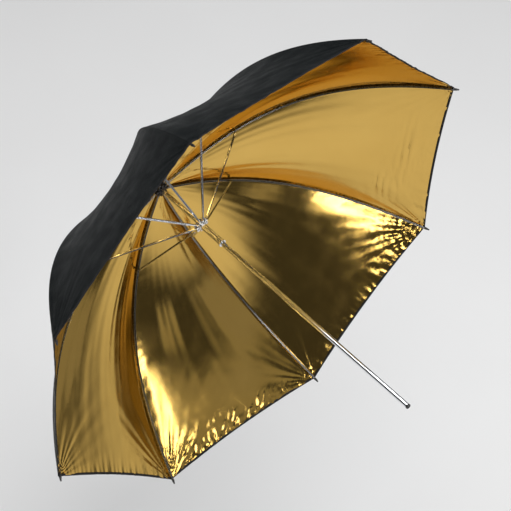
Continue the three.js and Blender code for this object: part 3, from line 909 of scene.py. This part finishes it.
def notched_disc(hinge_radius, hinge_y, low, high):
    """Three layers: the middle one is the floor of the groove that the hinge wire lies in."""
    groove = WIRE_GROOVE / 2
    overlap = GAP
    floor = hinge_radius - WIRE_GROOVE_DEPTH
    return [
        notched_layer(hinge_radius, NOTCH_RADIUS, low, hinge_y - groove),
        notched_layer(hinge_radius, floor, hinge_y - groove - overlap, hinge_y + groove + overlap),
        notched_layer(hinge_radius, NOTCH_RADIUS, hinge_y + groove, high),
    ]


def wire_section(radius, y, angle, thick, sides):
    """The round section of a wire that is bent about Y."""
    c, s = math.cos(angle), math.sin(angle)
    return [((radius + u) * c, y + v, (radius + u) * s) for u, v in circle(0, 0, thick, sides)]


def hinge_wire(name, node, radius, y, body):
    """A nearly closed ring of wire, its rounded ends side by side in the groove."""
    rings = []
    turn = np.linspace(WIRE_GAP, 2 * math.pi - WIRE_GAP, 96)
    for k, angle in enumerate(turn):
        near = min(k, len(turn) - 1 - k)
        thick = WIRE_RADIUS * math.sqrt(1 - (1 - min(near, 2) / 2) ** 2 * 0.98)
        rings.append(wire_section(radius, y, angle, thick, 12))
    stand_for(together(name, [swept(rings)], STEEL), node, body)


def crown():
    parts = notched_disc(RIB_HINGE_RADIUS, HINGE_Y, HINGE_Y - CROWN_BELOW, HINGE_Y + CROWN_ABOVE)
    stand_for(together("crown", parts, PLASTIC), "crown_hub", "shaft")
    hinge_wire("crown_ring", "crown_wire", RIB_HINGE_RADIUS, HINGE_Y, "shaft")
    outline = rounded([
        (BORE_RADIUS, WASHER_Y), (WASHER_RADIUS, WASHER_Y),
        (WASHER_RADIUS, WASHER_Y + WASHER * 0.6), (WASHER_RADIUS * 0.86, WASHER_Y + WASHER),
        (BORE_RADIUS, WASHER_Y + WASHER),
    ], 0.0004)
    washer = together("washer", [spun(outline, 64)], PLASTIC)
    stand_for(washer, "crown_washer", "shaft")
    cap()


def cap():
    """The crown's moulded cap, which screws down on the washer."""
    base = WASHER_Y + WASHER + GAP
    top = base + CAP_HEIGHT
    bore = HINGE_Y + SHAFT_TOP + GAP
    outline = rounded([
        (0, bore), (BORE_RADIUS, bore), (BORE_RADIUS, base), (CAP_BASE_RADIUS, base),
        (CAP_BASE_RADIUS, base + CAP_SKIRT), (CAP_BASE_RADIUS - 0.0006, base + CAP_SKIRT + 0.0004),
        (CAP_SHOULDER_RADIUS + 0.0004, base + CAP_SHOULDER_HEIGHT - 0.0005),
        (CAP_SHOULDER_RADIUS, base + CAP_SHOULDER_HEIGHT),
        (CAP_NECK_RADIUS, top - CAP_ROUNDING), (CAP_TOP_RADIUS, top), (0, top),
    ], 0.0009, 6)
    stand_for(together("cap", [spun(outline, 64)], PLASTIC), "crown_cap", "shaft")


def runner():
    low, high = RUNNER_Y - RUNNER_DISC_HALF, RUNNER_Y + RUNNER_DISC_HALF
    end = SLEEVE_END_Y
    bead = 0.0006
    collar = end + SLEEVE_LIP
    outline = rounded([
        (BORE_RADIUS, end), (SLEEVE_LIP_RADIUS, end), (SLEEVE_LIP_RADIUS, collar),
        (SLEEVE_RADIUS, collar + 0.0004), (SLEEVE_RADIUS, low - 6 * bead),
        (SLEEVE_RADIUS + bead, low - 5 * bead), (SLEEVE_RADIUS + bead, low - 3 * bead),
        (SLEEVE_RADIUS, low - 2 * bead), (SLEEVE_RADIUS, low + bead), (BORE_RADIUS, low + bead),
    ], 0.0004)
    parts = [spun(outline, 64)] + notched_disc(RUNNER_HINGE_RADIUS, RUNNER_Y, low, high)
    stand_for(together("runner", parts, CHROME), "runner_sleeve", "runner")
    hinge_wire("runner_ring", "runner_wire", RUNNER_HINGE_RADIUS, RUNNER_Y, "runner")


def rosette():
    """The gathered patch of black cloth under the washer, which covers the middle of the canopy."""
    turn = np.linspace(0, 2 * math.pi, 193)[:-1]
    wobble = value_noise(np.cos(turn) * 5, np.sin(turn) * 5, 77)
    rings = []
    for radius, share_of_frill in ROSETTE_RINGS:
        frill = share_of_frill * ROSETTE_FRILL
        y = ROSETTE_Y + ROSETTE_SLOPE * (radius - ROSETTE_RINGS[0][0])
        y = y + frill * (np.sin(turn * ROSETTE_PLEATS) + wobble - 1)
        r = radius + share_of_frill * ROSETTE_WOBBLE * wobble
        rings.append(np.stack([np.cos(turn) * r, y, np.sin(turn) * r], -1))
    thin = np.array([0, ROSETTE_THICKNESS, 0])
    loops = rings + [ring + thin for ring in rings[::-1]]
    faces = tube_faces(len(loops), len(turn), closed_loop=True)
    piece = together("rosette", [(np.concatenate(loops), faces)], BLACK)
    lay_out_cloth(piece, vertices_of(piece)[:, [0, 2]])
    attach(piece, "shaft")


# ---- Ribs and stretchers ----

def channel_outline(width, height, wall):
    """A channel's section as (sideways, outwards), open towards the bowl, with folded shoulders."""
    fold = CHANNEL_FOLD
    w, h = width / 2, height / 2
    quarter = math.pi / 2
    outer = arc(w - fold, h - fold, fold, 0, quarter, 5)
    outer += arc(-w + fold, h - fold, fold, quarter, 2 * quarter, 5)
    inside = max(fold - wall, wall / 4)
    iw, ih = w - wall, h - wall
    inner = arc(-iw + inside, ih - inside, inside, 2 * quarter, quarter, 5)
    inner += arc(iw - inside, ih - inside, inside, quarter, 0, 5)
    lip = wall * 0.3
    left = [(-w, -h + lip), (-w + lip, -h), (-iw - lip, -h), (-iw, -h + lip)]
    right = [(iw, -h + lip), (iw + lip, -h), (w - lip, -h), (w, -h + lip)]
    return outer + left + inner + right


def bar(start, end, half, skip=0.0, round_end=False):
    """Outline of a bar in the rib's plane, which may start further on and end round."""
    run = np.array(end) - np.array(start)
    along = run / np.linalg.norm(run)
    up = np.array([-along[1], along[0]]) * half
    first = np.array(start) + along * skip
    if round_end:
        turn = math.atan2(along[1], along[0])
        far = arc(end[0], end[1], half, turn - math.pi / 2, turn + math.pi / 2, 12)
    else:
        far = [tuple(end - up), tuple(end + up)]
    return far + [tuple(first + up), tuple(first - up)]


def below_rib(share, depth):
    return rib_point(share) - rib_normal(share) * depth


RIB_JOINT = below_rib(JOINT_ALONG_RIB, JOINT_BELOW_RIB)
RUNNER_JOINT = np.array([RUNNER_HINGE_RADIUS, RUNNER_Y])
RIVET_HOLE = circle(*RIB_JOINT, RIVET_RADIUS + GAP)
NECK_PLATE = EYE_PLATE * 0.98


def rib_parts():
    start = (NOTCH_RADIUS + 0.001 - RIB_HINGE_RADIUS) / RIB_LENGTH
    section = channel_outline(RIB_WIDTH, RIB_HEIGHT, RIB_WALL)
    rings = []
    for share in np.linspace(start, 1, 97):
        centre, normal = rib_point(share), rib_normal(share)
        rings.append([(*(centre + normal * up), side) for side, up in section])
    hinge, neck_end = rib_point(0), rib_point(EYE_REACH / RIB_LENGTH)
    eye = [circle(*hinge, EYE_RADIUS), circle(*hinge, EYE_HOLE_RADIUS)]
    neck = [bar(hinge, neck_end, RIB_HEIGHT / 2 - GAP, PAST_EYE_HOLE)]
    root = below_rib(JOINT_ALONG_RIB, (RIB_WALL - RIB_HEIGHT) / 2)
    lug = [bar(root, RIB_JOINT, EYE_RADIUS - GAP, round_end=True), RIVET_HOLE]
    root_radius = (RIB_WIDTH - RIB_WALL) / 2
    tang = rounded([
        (0, -TANG_ROOT), (root_radius, -TANG_ROOT), (root_radius, 0),
        (TANG_RADIUS, 0), (TANG_RADIUS, TANG_LENGTH), (0, TANG_LENGTH),
    ], 0.0003)
    return [
        swept(rings), plate(eye, EYE_PLATE, EYE_EDGE), plate(neck, NECK_PLATE, PLATE_EDGE),
        plate(lug, LUG_THICKNESS, PLATE_EDGE), placed(spun(tang, 20), rib_point(1), rib_slope(1)),
    ]


def tip_parts():
    """The moulded tip: a collar, a waist for the thread and a small round end."""
    r, length, bore = TIP_RADIUS, TIP_LENGTH, TANG_RADIUS + GAP
    low, high = TIP_WAIST
    profile = [
        (0, TANG_LENGTH + GAP), (bore, TANG_LENGTH + GAP), (bore, 0), (r * 0.9, 0),
        (r, 0.0006), (r, low - 0.0005), (TIP_WAIST_RADIUS, low), (TIP_WAIST_RADIUS, high),
        (r * 0.92, high + 0.0005), (r * 0.78, length * 0.6), (r * 0.5, length * 0.78),
        (r * 0.62, length * 0.87), (r * 0.5, length * 0.97), (0, length),
    ]
    start = rib_point(1) + rib_slope(1) * GAP
    return [placed(spun(rounded(profile, 0.0005, 3), 32), start, rib_slope(1))]


def rivet_parts():
    shank = STRETCHER_WIDTH / 2 + GAP
    head = RIVET_HEAD_RADIUS
    dome = [(head * x, shank + RIVET_HEAD * y) for x, y in arc(0, 0, 1, 0, math.pi / 2, 7)]
    top = [(RIVET_RADIUS, shank)] + dome
    outline = [(x, -y) for x, y in top[::-1]] + top
    points, faces = spun(outline, 24)
    return [(points[:, [0, 2, 1]] + np.array([*RIB_JOINT, 0]), faces)]


def stretcher_parts():
    run = RUNNER_JOINT - RIB_JOINT
    length = float(np.linalg.norm(run))
    along = run / length
    towards_rib = np.array([along[1], -along[0]])
    wall_end = RIB_JOINT + along * (length - NOTCH_RADIUS)
    web_start = RIB_JOINT + along * 3 * EYE_RADIUS
    eye_start = RIB_JOINT + along * (length - NOTCH_RADIUS - EYE_REACH / 2)
    section = channel_outline(STRETCHER_WIDTH, STRETCHER_HEIGHT, STRETCHER_WALL)
    rings = [[(*(place + towards_rib * up), side) for side, up in section]
             for place in np.linspace(web_start, wall_end, 12)]
    ear = [bar(web_start, RIB_JOINT, STRETCHER_HEIGHT / 2, round_end=True), RIVET_HOLE]
    ear_plate = plate(ear, STRETCHER_WALL, EAR_EDGE)
    offset = (STRETCHER_WIDTH - STRETCHER_WALL) / 2 - EAR_INSET
    eye = [circle(*RUNNER_JOINT, EYE_RADIUS), circle(*RUNNER_JOINT, EYE_HOLE_RADIUS)]
    stem = [bar(RUNNER_JOINT, eye_start, STRETCHER_HEIGHT / 2 - GAP, PAST_EYE_HOLE)]
    return [
        swept(rings), shifted(ear_plate, offset), shifted(ear_plate, -offset),
        plate(eye, EYE_PLATE, EYE_EDGE), plate(stem, NECK_PLATE, PLATE_EDGE),
    ]


def ribs():
    kinds = [
        ("rib", rib_parts(), "rib", "rib", RIB_STEEL, "steel"),
        ("tip", tip_parts(), "rib_tip", "rib", PLASTIC, "black_plastic"),
        ("rivet", rivet_parts(), "rib_rivet", "rib", STEEL, "steel"),
        ("stretcher", stretcher_parts(), "stretcher", "stretcher", CHROME, "chrome"),
    ]
    for rib in range(RIB_COUNT):
        number = rib + 1
        for kind, parts, node, body, material, slot in kinds:
            piece = together(f"{kind}_part_{number}", parts, material, azimuth=azimuth_of(rib))
            stand_for(piece, f"{node}_{number}", f"{body}_{number}")


# ---- Seams and stitching ----

def stitch_row(path, normals):
    """Short arched stitches along a path on the cloth, as vertices and faces."""
    lengths = np.concatenate([[0], np.cumsum(np.linalg.norm(np.diff(path, axis=0), axis=1))])
    count = int(lengths[-1] / STITCH_PITCH)
    rise = np.array([-0.5, 0.5, 0.8, 0.5, -0.5]) * THREAD_RADIUS
    thick = np.array([0.5, 1, 1, 1, 0.5]) * THREAD_RADIUS
    places = (np.arange(count)[:, None] + np.linspace(0.14, 0.86, len(rise))) * lengths[-1] / count

    def at(values):
        return np.stack([np.interp(places, lengths, values[:, i]) for i in range(3)], -1)

    centre, normal = at(path), at(normals)
    normal /= np.linalg.norm(normal, axis=-1, keepdims=True)
    side = np.cross(np.gradient(centre, axis=1), normal)
    side /= np.linalg.norm(side, axis=-1, keepdims=True)
    centre = centre + normal * rise[:, None]
    turn = np.linspace(0, 2 * math.pi, 7)[:-1]
    ring = np.cos(turn)[:, None] * side[:, :, None] + np.sin(turn)[:, None] * normal[:, :, None]
    points = centre[:, :, None] + ring * thick[:, None, None]
    each = tube_faces(len(rise), len(turn))
    size = len(rise) * len(turn)
    faces = [tuple(i + size * k for i in face) for k in range(count) for face in each]
    return points.reshape(-1, 3), faces


def beside_rib(rib, share, sideways, lift):
    """Places on the cloth beside a rib, in that rib's plane, and the way out of the bowl there."""
    chord = 2 * rib_point(share)[..., 0] * math.sin(RIB_STEP / 2)
    across = np.minimum(np.abs(sideways) / chord, 0.5)
    right = sideways >= 0
    before = (rib - 1) % RIB_COUNT
    height = np.where(right, ripple(share, across, rib), ripple(share, 1 - across, before))
    out = way_out(share, across, lift)
    place = canopy_surface(share, across, lift) + out * height[..., None]
    mirror = np.stack([np.ones(share.shape), np.ones(share.shape), np.where(right, 1, -1)], -1)
    return place * mirror, out * mirror


def seam(rib):
    """The folded edges of two gores: a strip along the rib, between it and the lining."""
    share, across = np.meshgrid(
        np.linspace(*SEAM_SHARES, 500), np.linspace(-1, 1, 13), indexing="ij",
    )
    metres = share * RIB_LENGTH
    width = SEAM_HALF_WIDTH + 0.0005 * value_noise(metres * 60, across * 0.7, 300 + rib)
    pucker = 0.00012 * np.sin(2 * math.pi * metres / STITCH_PITCH) * (1 - across ** 2)
    thick = SEAM_THICKNESS * (1 - 0.55 * across ** 2) + pucker
    lower, _ = beside_rib(rib, share, across * width, SEAM_LIFT - thick)
    upper, _ = beside_rib(rib, share, across * width, SEAM_LIFT)
    rings = np.concatenate([lower, upper[:, ::-1]], 1)
    piece = together(f"seam_{rib + 1}", [swept(rings)], GOLD, sharp=70, azimuth=azimuth_of(rib))
    x, y, z = vertices_of(piece).T
    lay_out_cloth(piece, np.stack([np.hypot(x, z), y], -1))
    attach(piece, f"rib_{rib + 1}")


def seam_stitches(rib):
    """The stitches that show outside, on both sides of the rib, and the thread at the tip."""
    along = np.linspace(*STITCH_SHARES, 400)
    rows = []
    for side in (-1, 1):
        at = np.full_like(along, side * STITCH_FROM_SEAM)
        rows.append(stitch_row(*beside_rib(rib, along, at, OUTER_LIFT + CLOTH / 2)))
    rows.append(tip_thread())
    piece = together(f"seam_thread_{rib + 1}", rows, THREAD, sharp=80, azimuth=azimuth_of(rib))
    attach(piece, f"rib_{rib + 1}")


def tip_thread():
    """A few turns of thread in the tip's waist, which tie the canopy's corner to it."""
    turns, radius = 3.5, TIP_WAIST_RADIUS + THREAD_RADIUS * 0.8
    low, high = TIP_WAIST
    rings = []
    for angle in np.linspace(0, 2 * math.pi * turns, int(24 * turns)):
        y = low + (high - low) * angle / (2 * math.pi * turns)
        rings.append(wire_section(radius, y, angle, THREAD_RADIUS, 6))
    return placed(swept(rings), rib_point(1) + rib_slope(1) * GAP, rib_slope(1))


def seams():
    for rib in range(RIB_COUNT):
        seam(rib)
        seam_stitches(rib)


# ---- Studio ----

RIM_CENTRE = Vector((0, RIM_Y, 0))
VIEW_BACK = Vector((-0.4767, -0.439, 0.7616))     # from the rim's centre towards the camera
VIEW_UP = Vector((0.4831, 0.593, 0.6442))
VIEW_DISTANCE = 2.855
VIEW_AIM = RIM_CENTRE + Vector((0.010047, 0.028098, 0.022485))    # the middle of the picture
LENS = 124

FLOOR_DEPTH = -1.1
FLOOR_HALF = 14


def camera():
    data = bpy.data.cameras.new("camera")
    data.lens = LENS
    data.clip_start = 0.05
    data.clip_end = 80
    obj = bpy.data.objects.new("camera", data)
    bpy.context.scene.collection.objects.link(obj)
    eye = RIM_CENTRE + VIEW_BACK.normalized() * VIEW_DISTANCE
    back = (eye - VIEW_AIM).normalized()
    right = VIEW_UP.cross(back).normalized()
    turn = Matrix((right, back.cross(right), back)).transposed().to_4x4()
    obj.matrix_world = Matrix.Translation(eye) @ turn
    bpy.context.scene.camera = obj


def softbox(name, azimuth, elevation, distance, width, height, brightness, roll=0):
    """A soft light round the bowl. Azimuth 0 is at -Y and 90 at +X, in degrees."""
    a, e = math.radians(azimuth), math.radians(elevation)
    towards = Vector((math.sin(a) * math.cos(e), -math.cos(a) * math.cos(e), math.sin(e)))
    data = bpy.data.lights.new(name, "AREA")
    data.shape = "RECTANGLE"
    data.size, data.size_y = width, height
    data.energy = brightness * math.pi * width * height
    obj = bpy.data.objects.new(name, data)
    bpy.context.scene.collection.objects.link(obj)
    obj.location = RIM_CENTRE + towards * distance
    obj.rotation_mode = "QUATERNION"
    spin = Quaternion((0, 0, 1), math.radians(roll))
    obj.rotation_quaternion = towards.to_track_quat("Z", "Y") @ spin
    obj.visible_camera = False


def studio():
    world = bpy.data.worlds.new("studio")
    bpy.context.scene.world = world
    world.use_nodes = True
    background = world.node_tree.nodes["Background"]
    background.inputs["Color"].default_value = (0.96, 0.98, 1, 1)
    background.inputs["Strength"].default_value = 0.06
    bpy.context.scene.view_settings.view_transform = "Standard"
    shader = Shader("floor", Roughness=0.9)
    tone = shader.noise(shader.object_coordinates(), 3.0)
    shader.set("Base Color", shader.colours(tone, (0.88, 0.88, 0.88), (0.92, 0.92, 0.92)))
    h, z = FLOOR_HALF, FLOOR_DEPTH
    corners = [(-h, -h, z), (h, -h, z), (h, h, z), (-h, h, z)]
    new_object("floor", corners, [(0, 1, 2, 3)], shader.material)
    softbox("overhead", 0, 88, 4.2, 4.4, 4.4, 4.4)
    softbox("strip_left", -18, 28, 3.2, 1.6, 0.26, 11)
    softbox("strip_right", 13, 36.5, 3.2, 1.3, 0.22, 12, roll=35)
    softbox("fill_high", 30, 30, 3.6, 1.7, 0.8, 0.26)
    softbox("fill_right", 57, 9, 3.6, 2.7, 2.0, 0.26)
    softbox("fill_left", 15, 9, 3.6, 0.6, 1.1, 0.34)


canopy()
rosette()
seams()
shaft()
shaft_plug()
catch()
stop_pin()
crown()
runner()
ribs()
camera()
studio()
